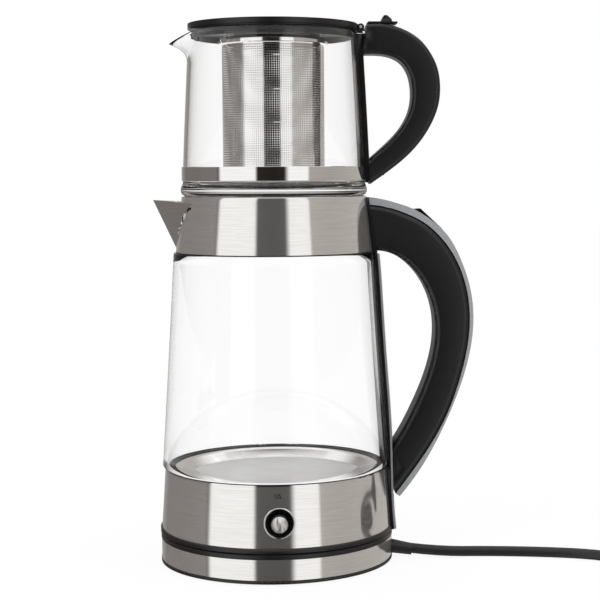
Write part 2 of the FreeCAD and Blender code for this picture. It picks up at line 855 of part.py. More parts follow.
release_pocket = fitted([(90.6, 245.0), (90.6, 233.4), (96.0, 229.8), (103.8, 224.4),
                         (108.2, 220.4), (109.0, 219.6), (112.4, 219.9), (114.4, 224.5),
                         (104.0, 245.0)])
release_half = 7.0


# Moves an outline's points sideways, away from its left-hand side
def pushed(points, distance):
    moved = []
    for i, (x, z) in enumerate(points):
        x0, z0 = points[max(i - 1, 0)]
        x1, z1 = points[min(i + 1, len(points) - 1)]
        length = math.hypot(x1 - x0, z1 - z0)
        moved.append((x - distance * (z1 - z0) / length, z + distance * (x1 - x0) / length))
    return moved


# Rounds the long edges of a slab on one side of its outline
def eased(solid, half, radius, keep):
    edges = []
    for edge in solid.Edges:
        bounds = edge.BoundBox
        flat = bounds.YLength < 0.01 and abs(abs(bounds.YMin) - half) < 0.01
        if flat and edge.Length > 30 and keep(edge.CenterOfMass):
            edges.append(edge)
    return solid.makeFillet(radius, edges)


def inner_side(point):
    return point.x < fit_x(112.0, point.z) and fit_z(70.0) < point.z < fit_z(206.0)


def handle_grip():
    face = outline_face([trim_inside, [trim_inside[-1], grip_inside[-1]],
                         list(reversed(grip_inside))])
    body = eased(slab(face, grip_half), grip_half, handle_edge_r, inner_side)
    body = body.cut(strap_solid)
    return cut_all(body, [handle_strap()]
                   + [rod_x(screw_r, bore_from, low_screw_end, 0, z) for z in screws_low_z]
                   + [rod_x(screw_r, bore_from, high_screw_end, 0, screw_high_z)])


def handle_trim():
    inside = pushed(trim_inside, snug)
    face = outline_face([trim_outside, [trim_outside[-1], inside[-1]],
                         list(reversed(inside))])
    cone_low = z_collar - 8.8
    cone_high = z_top + 14.6
    top_cone = solid_under([(collar_radius(cone_low) + snug, cone_low),
                            (collar_radius(cone_high) + snug, cone_high)])
    body = slab(face, trim_half).cut(strap_solid).cut(handle_strap()).cut(top_cone)
    body = body.cut(slab(polygon_face(release_pocket), release_half + gap))
    px, pz = release_pivot
    return body.cut(rod_y(press_pin_r, -trim_half + 1.5, trim_half - 1.5, px, pz))


def release_button():
    px, pz = release_pivot
    body = slab(polygon_face(release_line), release_half)
    return body.cut(rod_y(press_pin_r + pin_fit, -release_half, release_half, px, pz))


def release_pin():
    px, pz = release_pivot
    return rod_y(press_pin_r, -trim_half + 1.5, trim_half - 1.5, px, pz)


def inner_screw(x_head, x_end, z):
    head = rod_x(screw_head_r, x_head - screw_head_h, x_head, 0, z)
    return head.fuse(rod_x(screw_r, x_head, x_end, 0, z))


def handle_screws():
    low = [inner_screw(shell_radius(z) - sheet - 0.4, low_screw_end, z) for z in screws_low_z]
    high = inner_screw(collar_radius(screw_high_z) - sheet - 0.5, high_screw_end, screw_high_z)
    return low + [high]


save("kettle_underside", kettle_underside())
save("lower_shell", lower_shell())
save("kettle_socket", kettle_socket())
save("socket_contacts", *socket_contacts())
save("control_block", control_block())
save("heating_element", heating_element())
save("heat_spreader", tube(plate_r - spreader_step, 0, spreader_low, plate_face - plate_t))
save("heating_plate", heating_plate())
save("lower_gasket", tube(shell_top_r, glass_r - glass_wall - 4.0, z_gasket, z_glass))
save("kettle_glass", kettle_glass())
save("upper_gasket", tube(collar_r, collar_r - sheet - 0.6, z_glass_top, z_collar))
save("collar", collar())
save("kettle_spout", kettle_spout())
save("spout_filter", spout_filter())
save("collar_liner", collar_liner())
save("lid_pin", rod_y(lid_pin_r, -barrel_half, barrel_half, lid_pin_x, lid_pin_z))
save("kettle_lid", kettle_lid())
save("lid_insert", lid_insert())
save("button_bezel", button_bezel())
save("button_well", button_well())
save("power_button", power_button())
save("button_cap", rod_y(cap_r, cap_y, cap_y + cap_t, 0, button_z))
spring_len = well_floor_y - button_back_y - 1.2
spring_start = Vector(0, button_back_y + 0.6, button_z)
save("button_spring", helix_spring(spring_r, spring_wire_r, spring_turns, spring_start, spring_len))
save("micro_switch", switch())
save("handle_strap", handle_strap())
save("strap_strip", strap_strip())
save("handle_grip", handle_grip())
save("handle_trim", handle_trim())
save("release_button", release_button())
save("release_pin", release_pin())
save("handle_screws", *handle_screws())


# Teapot
foot_top = z_pot + pot_foot_h
wall_inside = pot_r - pot_wall
lip_tip = Vector(-(rim_r + 13.6), 0, z_rim - 8.0)
lip_foot = Vector(-(pot_radius(z_rim - 19.0) + 0.2), 0, z_rim - 19.0)
lip_root = Vector(-rim_r * math.cos(0.5), rim_r * math.sin(0.5), z_rim)
lip_out, lip_in = folded_spout(lip_tip, lip_root, lip_foot, pot_wall)
pot_pin_x = rim_r + 2.2
pot_pin_z = z_pot_lid + 1.5
knuckle_half = 9.5
lid_knuckle_half = 5.7
mouth_hole_r = neck_r + pin_fit
flange_top = z_mouth + mouth_flange_t - mouth_plate_t - neck_h
flange_low = flange_top - neck_flange_h
basket_low = z_pot + pot_floor + infuser_lift
slot_from = rim_r + 16.7
slot_to = rim_r + 25.5
slot_half = 3.3
clamp_end = pot_r + 13.2


def pot_profile(inset):
    heights = [foot_top + (z_rim - foot_top) * share for share in (0.0, 0.25, 0.6, 1.0)]
    return [(pot_radius(z) - inset, z) for z in heights]


# One blown piece, kept as two solids that meet at the level of its floor
def pot_glass():
    outside = [[(0, z_pot + 1.2), (pot_foot_r - 6.0, z_pot + 1.2)],
               [(pot_foot_r - 6.0, z_pot + 1.2), (pot_foot_r - 4.5, z_pot)],
               [(pot_foot_r - 4.5, z_pot), (pot_foot_r - 0.8, z_pot + 1.2),
                (pot_foot_r, z_pot + 3.8), (pot_foot_r - 0.7, z_pot + 7.0),
                (pot_r, foot_top)], pot_profile(0.0)]
    inner = list(reversed(pot_profile(pot_wall)))
    bottom_z = z_pot + pot_floor
    inside = [[outside[-1][-1], inner[0]], inner,
              [inner[-1], (wall_inside - 1.0, bottom_z + 2.0), (wall_inside - 4.0, bottom_z)],
              [(wall_inside - 4.0, bottom_z), (0, bottom_z)]]
    body = turned(outline_face(outside + inside))
    full = turned(outline_face([[(0, z_rim - 40), (pot_radius(z_rim - 40) - 1.0, z_rim - 40)],
                                [(pot_radius(z_rim - 40) - 1.0, z_rim - 40),
                                 (rim_r - 1.0, z_rim)], [(rim_r - 1.0, z_rim), (0, z_rim)]]))
    top = box(-base_r - 12.0, 0, -base_r, base_r, z_rim - 60, z_rim)
    lip = max(lip_out.cut(lip_in).common(top).cut(full).Solids, key=lambda piece: piece.Volume)
    notch = lip_in.common(box(-base_r - 12.0, -rim_r + 15.9, -base_r, base_r,
                              z_rim - 13.0, z_rim + 30))
    whole = max(body.cut(notch).fuse(lip).Solids, key=lambda piece: piece.Volume)
    above = Part.makeCylinder(100.0, pot_h + 20.0, Vector(0, 0, bottom_z))
    return whole.common(above), whole.cut(above)


def pot_band():
    low = foot_top
    return tube(band_in_r + band_t, band_in_r, low, low + band_h)


# The strap stands off the band by a hair and hugs the wall above and below it
def pot_strap_outline(off):
    heights = [foot_top + band_h + 0.1 + (z_rim - 1.5 - foot_top - band_h - 0.1) * share
               for share in (0.0, 0.3, 0.65, 1.0)]
    wall = [(pot_radius(z) + off, z) for z in heights]
    return wall


def pot_strap():
    wall = pot_strap_outline(snug)
    band_out = band_in_r + band_t + snug
    low = foot_top - 1.6
    foot = pot_r + 0.9
    back = list(reversed(pot_strap_outline(snug + pot_strap_t)))
    face = outline_face([[(foot, low), (foot, foot_top - 0.1)],
                         [(foot, foot_top - 0.1), (band_out, foot_top - 0.1)],
                         [(band_out, foot_top - 0.1), (band_out, foot_top + band_h + 0.1)],
                         [(band_out, foot_top + band_h + 0.1), wall[0]], wall,
                         [wall[-1], back[0]], back,
                         [back[-1], (foot + 2.4, foot_top - 0.1), (foot + 1.5, low)]])
    body = turned(face, 2 * pot_strap_half_angle, -pot_strap_half_angle)
    return body.cut(rod_x(screw_r + snug, pot_r - 10.8, pot_r + 29.2, 0, foot_top + band_h / 2))


# The pot handle's outlines are fitted in the same way. Above the rim they only move.
drawn_pot = 245.7
drawn_rim = 354.2
drawn_foot_r = 62.3


def fit_pot_z(z):
    if z > drawn_rim:
        return z_rim + z - drawn_rim
    return z_pot + (z - drawn_pot) * pot_h / (drawn_rim - drawn_pot)


def fitted_pot(points):
    return [(x + pot_foot_r - drawn_foot_r, fit_pot_z(z)) for x, z in points]


pot_outside = fitted_pot([(62.0, 358.9), (68.9, 359.4), (83.0, 357.1), (91.7, 353.1),
                          (98.7, 347.8), (104.4, 340.5), (108.5, 332.5), (111.1, 317.0),
                          (110.1, 306.6), (105.9, 294.8), (91.7, 274.7), (79.8, 264.4),
                          (64.0, 253.2)])
pot_inside = fitted_pot([(58.0, 339.2), (69.4, 339.2), (78.9, 337.5), (85.2, 333.9),
                         (89.6, 327.7), (92.3, 315.5), (91.3, 304.3), (86.1, 292.6),
                         (77.4, 282.3), (62.0, 268.4)])


def pot_inner_side(point):
    x = point.x - pot_foot_r + drawn_foot_r
    return x < 95 and fit_pot_z(270.0) < point.z < fit_pot_z(339.0)


def pot_handle():
    shelf = z_rim - 1.5
    face = outline_face([[pot_inside[0], (pot_inside[0][0], shelf)],
                         [(pot_inside[0][0], shelf), (pot_outside[0][0], shelf)],
                         [(pot_outside[0][0], shelf), pot_outside[0]], pot_outside,
                         [pot_outside[-1], pot_inside[-1]], list(reversed(pot_inside))])
    body = eased(slab(face, pot_grip_half), pot_grip_half, pot_edge_r, pot_inner_side)
    back = list(reversed(pot_strap_outline(2 * snug + pot_strap_t)))
    low = foot_top - 3.0
    lean = turned(outline_face([[(0, z_rim), (back[0][0], z_rim)], [(back[0][0], z_rim), back[0]],
                                back, [back[-1], (pot_r + 3.3, foot_top - 0.1)],
                                [(pot_r + 3.3, foot_top - 0.1), (pot_r + 3.3, low)],
                                [(pot_r + 3.3, low), (0, low)]]))
    body = body.cut(lean).cut(pot_strap())
    body = body.cut(box(slot_from, slot_to, -slot_half, slot_half, z_rim - 3.0, z_rim + 10))
    return body.cut(rod_x(screw_r, pot_r - 10.8, clamp_end + 2.0, 0, foot_top + band_h / 2))


def pot_slider():
    base_z = z_rim + 5.8
    x = rim_r + 13.1
    thumb = slab(polygon_face([(x, base_z), (x + 3.0, base_z + 1.2), (x + 4.8, base_z + 5.0),
                               (x + 6.8, base_z + 5.0), (x + 9.6, base_z + 2.6),
                               (x + 10.6, base_z)]), 7.5)
    plate = box(x - 6.0, x + 13.6, -8.5, 8.5, base_z - 0.4, base_z + 0.8)
    stem = box(slot_from + gap, slot_to - slider_travel - gap, -slot_half + gap, slot_half - gap,
               z_rim - 2.0, base_z)
    return joined(thumb, plate, stem)


def clamp_screw():
    return rod_x(screw_r, pot_r + 0.9, clamp_end, 0, foot_top + band_h / 2)


def mouth_ring():
    high = z_mouth + mouth_flange_t
    plug_out = rim_r - pot_wall - 0.4
    body = ring([(mouth_hole_r, high - mouth_plate_t), (plug_out, high - mouth_plate_t),
                 (plug_out, z_mouth), (rim_r, z_mouth), (rim_r, high), (mouth_hole_r, high)])
    skirt = tube(plug_out, plug_out - 1.6, high - 6.0, high - mouth_plate_t)
    body = joined(body, skirt)
    body = body.cut(box(-rim_r - 14.0, -plug_out + 6.0, -11, 11, high - 7.0, high + 1.0))
    for side in (-1, 1):
        y0 = min(side * (lid_knuckle_half + gap), side * knuckle_half)
        depth = knuckle_half - lid_knuckle_half - gap
        ear = box(rim_r - 4.0, pot_pin_x + 2.6, y0, y0 + depth, z_mouth, high)
        lug = rod_y(2.2, y0, y0 + depth, pot_pin_x, pot_pin_z)
        web = box(pot_pin_x - 2.2, pot_pin_x + 2.2, y0, y0 + depth, z_mouth, pot_pin_z)
        body = joined(body, ear, lug, web)
    return body.cut(rod_y(pot_pin_r, -knuckle_half, knuckle_half, pot_pin_x, pot_pin_z))


def pot_lid():
    disc = tube(pot_lid_r, 0, z_pot_lid, z_pot_lid + pot_lid_t)
    for side in (-1, 1):
        y0 = min(side * lid_knuckle_half, side * (knuckle_half + gap))
        disc = disc.cut(box(pot_pin_x - 2.2 - gap, pot_pin_x + 5, y0,
                            y0 + knuckle_half + gap - lid_knuckle_half, z_mouth, z_rim + 9))
    knuckle = rod_y(pot_barrel_r, -lid_knuckle_half, lid_knuckle_half, pot_pin_x, pot_pin_z)
    web = box(rim_r - 6.0, pot_pin_x, -lid_knuckle_half, lid_knuckle_half,
              z_pot_lid, pot_pin_z + pot_barrel_r)
    body = joined(disc, knuckle, web)
    return body.cut(rod_y(pot_pin_r + pin_fit, -20, 20, pot_pin_x, pot_pin_z))


def infuser_neck():
    top = z_mouth + mouth_flange_t - 0.1
    body = tube(neck_r, neck_r - neck_t, flange_top - 1.0, top)
    flange = tube(neck_flange_r, neck_r - neck_t, flange_low, flange_top)
    return joined(body, flange)


def infuser_basket():
    return tube(infuser_r, infuser_r - infuser_sheet, basket_low, flange_low)


def infuser_floor():
    inner = infuser_r - infuser_sheet - floor_fit
    return joined(tube(inner, 0, basket_low, basket_low + 0.5),
                  tube(inner, inner - 0.5, basket_low, basket_low + 4.0))


pot_wall_solid, pot_foot_solid = pot_glass()
save("pot_glass", pot_wall_solid)
save("pot_glass_foot", pot_foot_solid)
save("pot_band", pot_band())
save("pot_strap", pot_strap())
save("pot_handle", pot_handle())
save("pot_slider", pot_slider())
save("clamp_screw", clamp_screw())
save("mouth_ring", mouth_ring())
save("pot_lid_pin", rod_y(pot_pin_r, -knuckle_half, knuckle_half, pot_pin_x, pot_pin_z))
save("pot_lid", pot_lid())
save("infuser_neck", infuser_neck())
save("infuser_basket", infuser_basket())
save("infuser_floor", infuser_floor())


# Mains cord, stored coil and plug
coil_first = -105.0
coil_in_turns = 0.95
coil_climb_turns = 0.5
coil_low_z = cord_r
coil_high_z = cord_r + 7.6
coil_x = 276.0
coil_y = -10.0
plug_z = plug_front_r
tail_turns = 0.3


def coil_state(n):
    inner = coil_r - coil_pitch * coil_in_turns
    n1 = coil_in_turns
    n2 = n1 + coil_climb_turns
    if n <= n1:
        return coil_r - coil_pitch * n, coil_low_z
    if n <= n2:
        s = (n - n1) / coil_climb_turns
        ease = s * s * (3.0 - 2.0 * s)
        drop = coil_pitch * coil_climb_turns * (s - s * s)
        return inner - drop, coil_low_z + (coil_high_z - coil_low_z) * ease
    end = n2 + coil_in_turns
    s = max(0.0, (n - end + tail_turns) / tail_turns)
    ease = s * s * (3.0 - 2.0 * s)
    return inner + coil_pitch * (n - n2), coil_high_z + (plug_z - coil_high_z) * ease


def coil_point(n):
    r, z = coil_state(n)
    a = math.radians(coil_first) + 2.0 * math.pi * n
    return Vector(coil_x + r * math.cos(a), coil_y + r * math.sin(a), z)


def coil_heading(n, end):
    h = 0.0005
    v = coil_point(min(n + h, end)) - coil_point(max(n - h, 0.0))
    v.z = 0.0 if n in (0.0, end) else v.z
    return v * (1.0 / v.Length)


coil_end = 2 * coil_in_turns + coil_climb_turns
coil_steps = 30
coil_n = [coil_end * i / coil_steps for i in range(coil_steps + 1)]
coil_start_dir = coil_heading(0.0, coil_end)
coil_join = coil_point(0.0) - coil_start_dir * (2 * cord_r)
tail_from = coil_point(coil_end)
tail_dir = coil_heading(coil_end, coil_end)
tail_out = Vector(tail_dir.y, -tail_dir.x, 0)
plug_dir = tail_dir * math.cos(0.45) + tail_out * math.sin(0.45)
tail_to = tail_from + tail_dir * 24.0 + tail_out * 5.6
plug_base = tail_to + plug_dir * (2 * cord_r)


def cord_lead():
    fall = (exit_point.z - cord_r) / math.sin(math.radians(cord_tilt))
    start = exit_point - exit_dir * 13.0
    down = exit_point + exit_dir * fall
    points = [start, down, Vector(152, -13.5, cord_r), Vector(207, -25.5, cord_r),
              coil_join - coil_start_dir * 30.0, coil_join]
    print("    cord points", [(round(p.x, 1), round(p.y, 1), round(p.z, 1)) for p in points])
    return routed_tube(points, cord_r)


def cord_coil():
    edges = [Part.LineSegment(coil_join, coil_point(0.0)).toShape()]
    for n0, n1 in zip(coil_n, coil_n[1:]):
        edges += biarc(coil_point(n0), coil_heading(n0, coil_end),
                       coil_point(n1), coil_heading(n1, coil_end))
    edges += biarc(tail_from, tail_dir, tail_to, plug_dir)
    edges.append(Part.LineSegment(tail_to, plug_base).toShape())
    dense = [coil_point(coil_end * i / 400.0) for i in range(401)]
    print("    least gap between turns %.2f"
          % self_gap(dense, int(400 * 0.5 / coil_end), 2 * cord_r))
    return swept_tube(edges, cord_r)


def aligned(solid, base_point, direction):
    turn = math.degrees(math.atan2(direction.y, direction.x))
    solid.rotate(Vector(0, 0, 0), Vector(0, 0, 1), turn)
    solid.translate(base_point)
    return solid


# Drawn along +X from the cord's end, then turned into place
def plug_body():
    profile = [(0, 0), (0, 5.2), (6, 6.4), (13, 10.5), (17, 16.2), (19, 17.6),
               (plug_len - 1.0, plug_front_r), (plug_len, plug_front_r - 1.0), (plug_len, 0)]
    face = Part.Face(Part.makePolygon([Vector(x, r, 0) for x, r in profile + [profile[0]]]))
    body = face.revolve(Vector(0, 0, 0), Vector(1, 0, 0), 360)
    for side in (-1, 1):
        slot = box(plug_len - 24, plug_len + 1, -4, 4, side * 16.6 - 1.2, side * 16.6 + 1.2)
        body = body.cut(slot)
        body = body.cut(rod_x(prong_r, plug_len - 8, plug_len + 1, side * prong_half_spacing, 0))
    return aligned(body, plug_base, plug_dir)


def plug_prongs():
    prongs = []
    for side in (-1, 1):
        y = side * prong_half_spacing
        shank = rod_x(prong_r, plug_len - 8, plug_len + prong_len - 1.0, y, 0)
        tip = Part.makeCone(prong_r, prong_r - 0.9, 1.0,
                            Vector(plug_len + prong_len - 1.0, y, 0), Vector(1, 0, 0))
        prongs.append(aligned(shank.fuse(tip), plug_base, plug_dir))
    return prongs


save("cord_lead", cord_lead())
save("cord_coil", cord_coil())
save("plug_body", plug_body())
save("plug_prongs", *plug_prongs())
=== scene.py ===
import math
import bpy
import bmesh
from mathutils import Matrix, Vector


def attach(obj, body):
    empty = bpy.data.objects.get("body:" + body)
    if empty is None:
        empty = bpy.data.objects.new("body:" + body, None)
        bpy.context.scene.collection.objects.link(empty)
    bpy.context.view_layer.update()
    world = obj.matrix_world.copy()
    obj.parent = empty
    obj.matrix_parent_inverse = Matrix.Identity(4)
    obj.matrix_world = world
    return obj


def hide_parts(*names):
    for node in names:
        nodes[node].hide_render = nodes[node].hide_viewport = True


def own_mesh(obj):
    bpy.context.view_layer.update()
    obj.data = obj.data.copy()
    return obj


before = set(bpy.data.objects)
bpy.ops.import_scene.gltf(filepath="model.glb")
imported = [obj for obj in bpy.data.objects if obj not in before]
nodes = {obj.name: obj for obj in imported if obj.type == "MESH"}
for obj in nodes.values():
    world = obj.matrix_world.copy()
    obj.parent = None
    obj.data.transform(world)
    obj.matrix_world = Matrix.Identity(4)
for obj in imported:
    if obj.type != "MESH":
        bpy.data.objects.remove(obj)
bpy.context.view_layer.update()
mm = 0.001
print("frame loaded")


# Studio: camera, backdrop and light

camera = {
    "place": (-20.4, -1058.8, 261.6),  # mm
    "pan": 4.202,                      # degrees towards +X
    "pitch": 4.668,                    # degrees down
    "roll": -0.26,
    "lens": 94.39,
    "shift": -0.1,
}


def makeCamera():
    pan = math.radians(camera["pan"])
    pitch = math.radians(camera["pitch"])
    roll = math.radians(camera["roll"])
    ahead = Vector((math.sin(pan) * math.cos(pitch), math.cos(pan) * math.cos(pitch), -math.sin(pitch)))
    right = Vector((math.cos(pan), -math.sin(pan), 0.0))
    up = right.cross(ahead)
    across = right * math.cos(roll) + up * math.sin(roll)
    upright = up * math.cos(roll) - right * math.sin(roll)
    data = bpy.data.cameras.new("camera")
    data.lens = camera["lens"]
    data.sensor_width = 36.0
    data.shift_x = camera["shift"]
    data.clip_start = 0.01
    data.clip_end = 50.0
    eye = bpy.data.objects.new("camera", data)
    bpy.context.scene.collection.objects.link(eye)
    turn = Matrix((across, upright, -ahead)).transposed().to_4x4()
    eye.matrix_world = Matrix.Translation(Vector(camera["place"]) * mm) @ turn
    bpy.context.scene.camera = eye


def hexColour(text, alpha=1.0):
    parts = [int(text[i:i + 2], 16) / 255.0 for i in (1, 3, 5)]
    linear = [p / 12.92 if p <= 0.04045 else ((p + 0.055) / 1.055) ** 2.4 for p in parts]
    return (*linear, alpha)


# Adds a node, sets its properties and sockets, and returns it
def addNode(tree, kind, settings=None, inputs=None, links=None):
    node = tree.nodes.new(kind)
    for name, value in (settings or {}).items():
        setattr(node, name, value)
    for name, value in (inputs or {}).items():
        node.inputs[name].default_value = value
    for name, source in (links or {}).items():
        tree.links.new(source, node.inputs[name])
    return node


def fillRamp(ramp, stops):
    while len(ramp.elements) > 1:
        ramp.elements.remove(ramp.elements[-1])
    for i, (place, shade) in enumerate(stops):
        spot = ramp.elements[0] if i == 0 else ramp.elements.new(place)
        spot.position = place
        spot.color = hexColour(shade)


# What polished metal sees round the table, from behind the object (0) by the left,
# over the camera's side (0.5) and by the right back to behind (1)
studio = {
    "walls": [(0.0, "#b8b4b1"), (0.10, "#77726f"), (0.20, "#76716e"), (0.286, "#7d7875"),
              (0.296, "#5a5653"), (0.306, "#ffffff"), (0.432, "#ffffff"), (0.440, "#2b2725"),
              (0.50, "#24211f"), (0.533, "#2b2725"), (0.548, "#ffffff"), (0.613, "#ffffff"),
              (0.620, "#aca7a2"), (0.70, "#a8a39e"), (0.84, "#b4afaa"), (1.0, "#b8b4b1")],
    "strength": 1.0,
}


def makeStudio():
    world = bpy.data.worlds.new("studio")
    bpy.context.scene.world = world
    world.use_nodes = True
    tree = world.node_tree
    tree.nodes.clear()
    where = addNode(tree, "ShaderNodeTexCoord")
    split = addNode(tree, "ShaderNodeSeparateXYZ", links={"Vector": where.outputs["Generated"]})
    flip = addNode(tree, "ShaderNodeMath", {"operation": "MULTIPLY"}, {1: -1.0},
                   {0: split.outputs["Y"]})
    back = addNode(tree, "ShaderNodeMath", {"operation": "ARCTAN2"},
                   links={0: split.outputs["X"], 1: flip.outputs[0]})
    share = addNode(tree, "ShaderNodeMath", {"operation": "MULTIPLY_ADD"},
                    {1: 0.5 / math.pi, 2: 0.5}, {0: back.outputs[0]})
    ramp = addNode(tree, "ShaderNodeValToRGB", links={"Fac": share.outputs[0]})
    fillRamp(ramp.color_ramp, studio["walls"])
    high = addNode(tree, "ShaderNodeMapRange", {"interpolation_type": "SMOOTHSTEP"},
                   {"From Min": 0.45, "From Max": 0.75}, {"Value": split.outputs["Z"]})
    ceiling = addNode(tree, "ShaderNodeMix", {"data_type": "RGBA"}, {7: hexColour("#ffffff")},
                      {0: high.outputs["Result"], 6: ramp.outputs["Color"]})
    paths = addNode(tree, "ShaderNodeLightPath")
    bounced = addNode(tree, "ShaderNodeMath", {"operation": "MINIMUM"}, {1: 1.0},
                      {0: paths.outputs["Glossy Depth"]})
    glossy = addNode(tree, "ShaderNodeMix", {"data_type": "RGBA"}, {6: hexColour("#ffffff")},
                     {0: bounced.outputs[0], 7: ceiling.outputs[2]})
    lit = addNode(tree, "ShaderNodeMath", {"operation": "MAXIMUM"},
                  links={0: paths.outputs["Is Camera Ray"], 1: paths.outputs["Is Transmission Ray"]})
    seen = addNode(tree, "ShaderNodeMath", {"operation": "SUBTRACT", "use_clamp": True},
                   links={0: lit.outputs[0], 1: bounced.outputs[0]})
    plain = addNode(tree, "ShaderNodeMix", {"data_type": "RGBA"}, {7: hexColour("#ffffff")},
                    {0: seen.outputs[0], 6: glossy.outputs[2]})
    sky = addNode(tree, "ShaderNodeBackground", {}, {"Strength": studio["strength"]},
                  {"Color": plain.outputs[2]})
    addNode(tree, "ShaderNodeOutputWorld", links={"Surface": sky.outputs[0]})
    bpy.context.scene.view_settings.view_transform = "Standard"


def makeFloor():
    mesh = bpy.data.meshes.new("floor")
    side = 6.0
    mesh.from_pydata([(-side, -side, 0), (side, -side, 0), (side, side, 0), (-side, side, 0)],
                     [], [(0, 1, 2, 3)])
    floor = bpy.data.objects.new("floor", mesh)
    bpy.context.scene.collection.objects.link(floor)
    paint = bpy.data.materials.new("white table")
    paint.use_nodes = True
    tree = paint.node_tree
    tree.nodes.clear()
    paths = addNode(tree, "ShaderNodeLightPath")
    matt = addNode(tree, "ShaderNodeBsdfDiffuse", {}, {"Color": hexColour("#fafafa")})
    glow = addNode(tree, "ShaderNodeEmission", {}, {"Strength": 1.0})
    seen = addNode(tree, "ShaderNodeMath", {"operation": "MAXIMUM"},
                   links={0: paths.outputs["Is Camera Ray"], 1: paths.outputs["Is Transmission Ray"]})
    share = addNode(tree, "ShaderNodeMath", {"operation": "MULTIPLY"}, {1: 0.9}, {0: seen.outputs[0]})
    cover = addNode(tree, "ShaderNodeMixShader",
                    links={0: share.outputs[0], 1: matt.outputs[0], 2: glow.outputs[0]})
    addNode(tree, "ShaderNodeOutputMaterial", links={"Surface": cover.outputs[0]})
    mesh.materials.append(paint)
    floor.visible_glossy = False       # the steel mirrors the studio, as over a small table


def makeLamp(name, place, size, power):
    data = bpy.data.lights.new(name, "AREA")
    data.energy = power
    data.shape = "RECTANGLE"
    data.size, data.size_y = size
    lamp = bpy.data.objects.new(name, data)
    bpy.context.scene.collection.objects.link(lamp)
    aim = Vector((0, 0, 0.15)) - Vector(place)
    lamp.location = place
    lamp.rotation_euler = aim.to_track_quat("-Z", "Y").to_euler()
    lamp.visible_glossy = False


makeCamera()
makeStudio()
makeFloor()
makeLamp("key lamp", (-1.2, -1.3, 1.6), (1.0, 1.0), 9.0)
makeLamp("fill lamp", (1.5, -1.0, 1.3), (1.0, 1.0), 5.0)
print("studio ready")


# Materials

def newMaterial(name):
    material = bpy.data.materials.new(name)
    material.use_nodes = True
    tree = material.node_tree
    tree.nodes.clear()
    shader = addNode(tree, "ShaderNodeBsdfPrincipled")
    addNode(tree, "ShaderNodeOutputMaterial", links={"Surface": shader.outputs[0]})
    return material, tree, shader


# Noise in millimetre grain, stretched along an axis by the Mapping scale
def grain(tree, size, stretch=(1, 1, 1), detail=3.0):
    where = addNode(tree, "ShaderNodeTexCoord")
    spread = addNode(tree, "ShaderNodeMapping", {}, {"Scale": stretch}, {"Vector": where.outputs["Object"]})
    return addNode(tree, "ShaderNodeTexNoise", {}, {"Scale": 1.0 / (size * mm), "Detail": detail},
                   {"Vector": spread.outputs[0]})


def bumpFrom(tree, shader, height, depth, strength):
    bump = addNode(tree, "ShaderNodeBump", {}, {"Strength": strength, "Distance": depth * mm},
                   {"Height": height})
    tree.links.new(bump.outputs[0], shader.inputs["Normal"])


def shadeBetween(tree, shader, factor, dark, light):
    ramp = addNode(tree, "ShaderNodeValToRGB", links={"Fac": factor})
    fillRamp(ramp.color_ramp, [(0.35, dark), (0.65, light)])
    tree.links.new(ramp.outputs["Color"], shader.inputs["Base Color"])


def roughBetween(tree, shader, factor, low, high):
    spread = addNode(tree, "ShaderNodeMapRange", {}, {"To Min": low, "To Max": high}, {"Value": factor})
    tree.links.new(spread.outputs["Result"], shader.inputs["Roughness"])


# Stainless sheet, spun and then brushed fine round its axis: bright, with soft-edged reflections
def brushedStainless(name, dark, light, low, high, metallic=1.0):
    material, tree, shader = newMaterial(name)
    shader.inputs["Metallic"].default_value = metallic
    lines = grain(tree, 0.6, (0.03, 0.03, 1.0), 2.0)
    shadeBetween(tree, shader, lines.outputs["Fac"], dark, light)
    roughBetween(tree, shader, lines.outputs["Fac"], low, high)
    bumpFrom(tree, shader, lines.outputs["Fac"], 0.01, 0.02)
    return material


# Injection moulded ABS: a fine spark texture that spreads the highlight
def mouldedAbs(name, dark, light, roughness, texture):
    material, tree, shader = newMaterial(name)
    cloud = grain(tree, 0.9)
    shadeBetween(tree, shader, cloud.outputs["Fac"], dark, light)
    roughBetween(tree, shader, cloud.outputs["Fac"], roughness - 0.04, roughness + 0.04)
    shader.inputs["IOR"].default_value = 1.53
    bumpFrom(tree, shader, cloud.outputs["Fac"], 0.02, texture)
    return material


# Blown borosilicate: clear, with faint waviness in its reflections
def clearGlass(name, tint, wave):
    material, tree, shader = newMaterial(name)
    shader.inputs["Base Color"].default_value = hexColour(tint)
    shader.inputs["Transmission Weight"].default_value = 1.0
    shader.inputs["IOR"].default_value = 1.33
    shader.inputs["Roughness"].default_value = 0.0
    swell = grain(tree, 28.0, (1, 1, 0.4), 1.0)
    bumpFrom(tree, shader, swell.outputs["Fac"], 0.3, wave)
    return material


# Turned end face of a steel cap: rings too fine to see singly spread the light into a wedge
def spunSteel(name):
    material, tree, shader = newMaterial(name)
    shader.inputs["Metallic"].default_value = 1.0
    shader.inputs["Roughness"].default_value = 0.26
    shader.inputs["Anisotropic"].default_value = 0.85
    where = addNode(tree, "ShaderNodeTexCoord")
    middle = addNode(tree, "ShaderNodeMapping", {}, {"Location": (0, 0, -39.8 * mm)},
                     {"Vector": where.outputs["Object"]})
    rings = addNode(tree, "ShaderNodeTexWave", {"wave_type": "RINGS", "rings_direction": "Y"},
                    {"Scale": 700.0, "Distortion": 0.4}, {"Vector": middle.outputs[0]})
    shadeBetween(tree, shader, rings.outputs["Fac"], "#c9c5bf", "#f0ede8")
    bumpFrom(tree, shader, rings.outputs["Fac"], 0.01, 0.03)
    return material


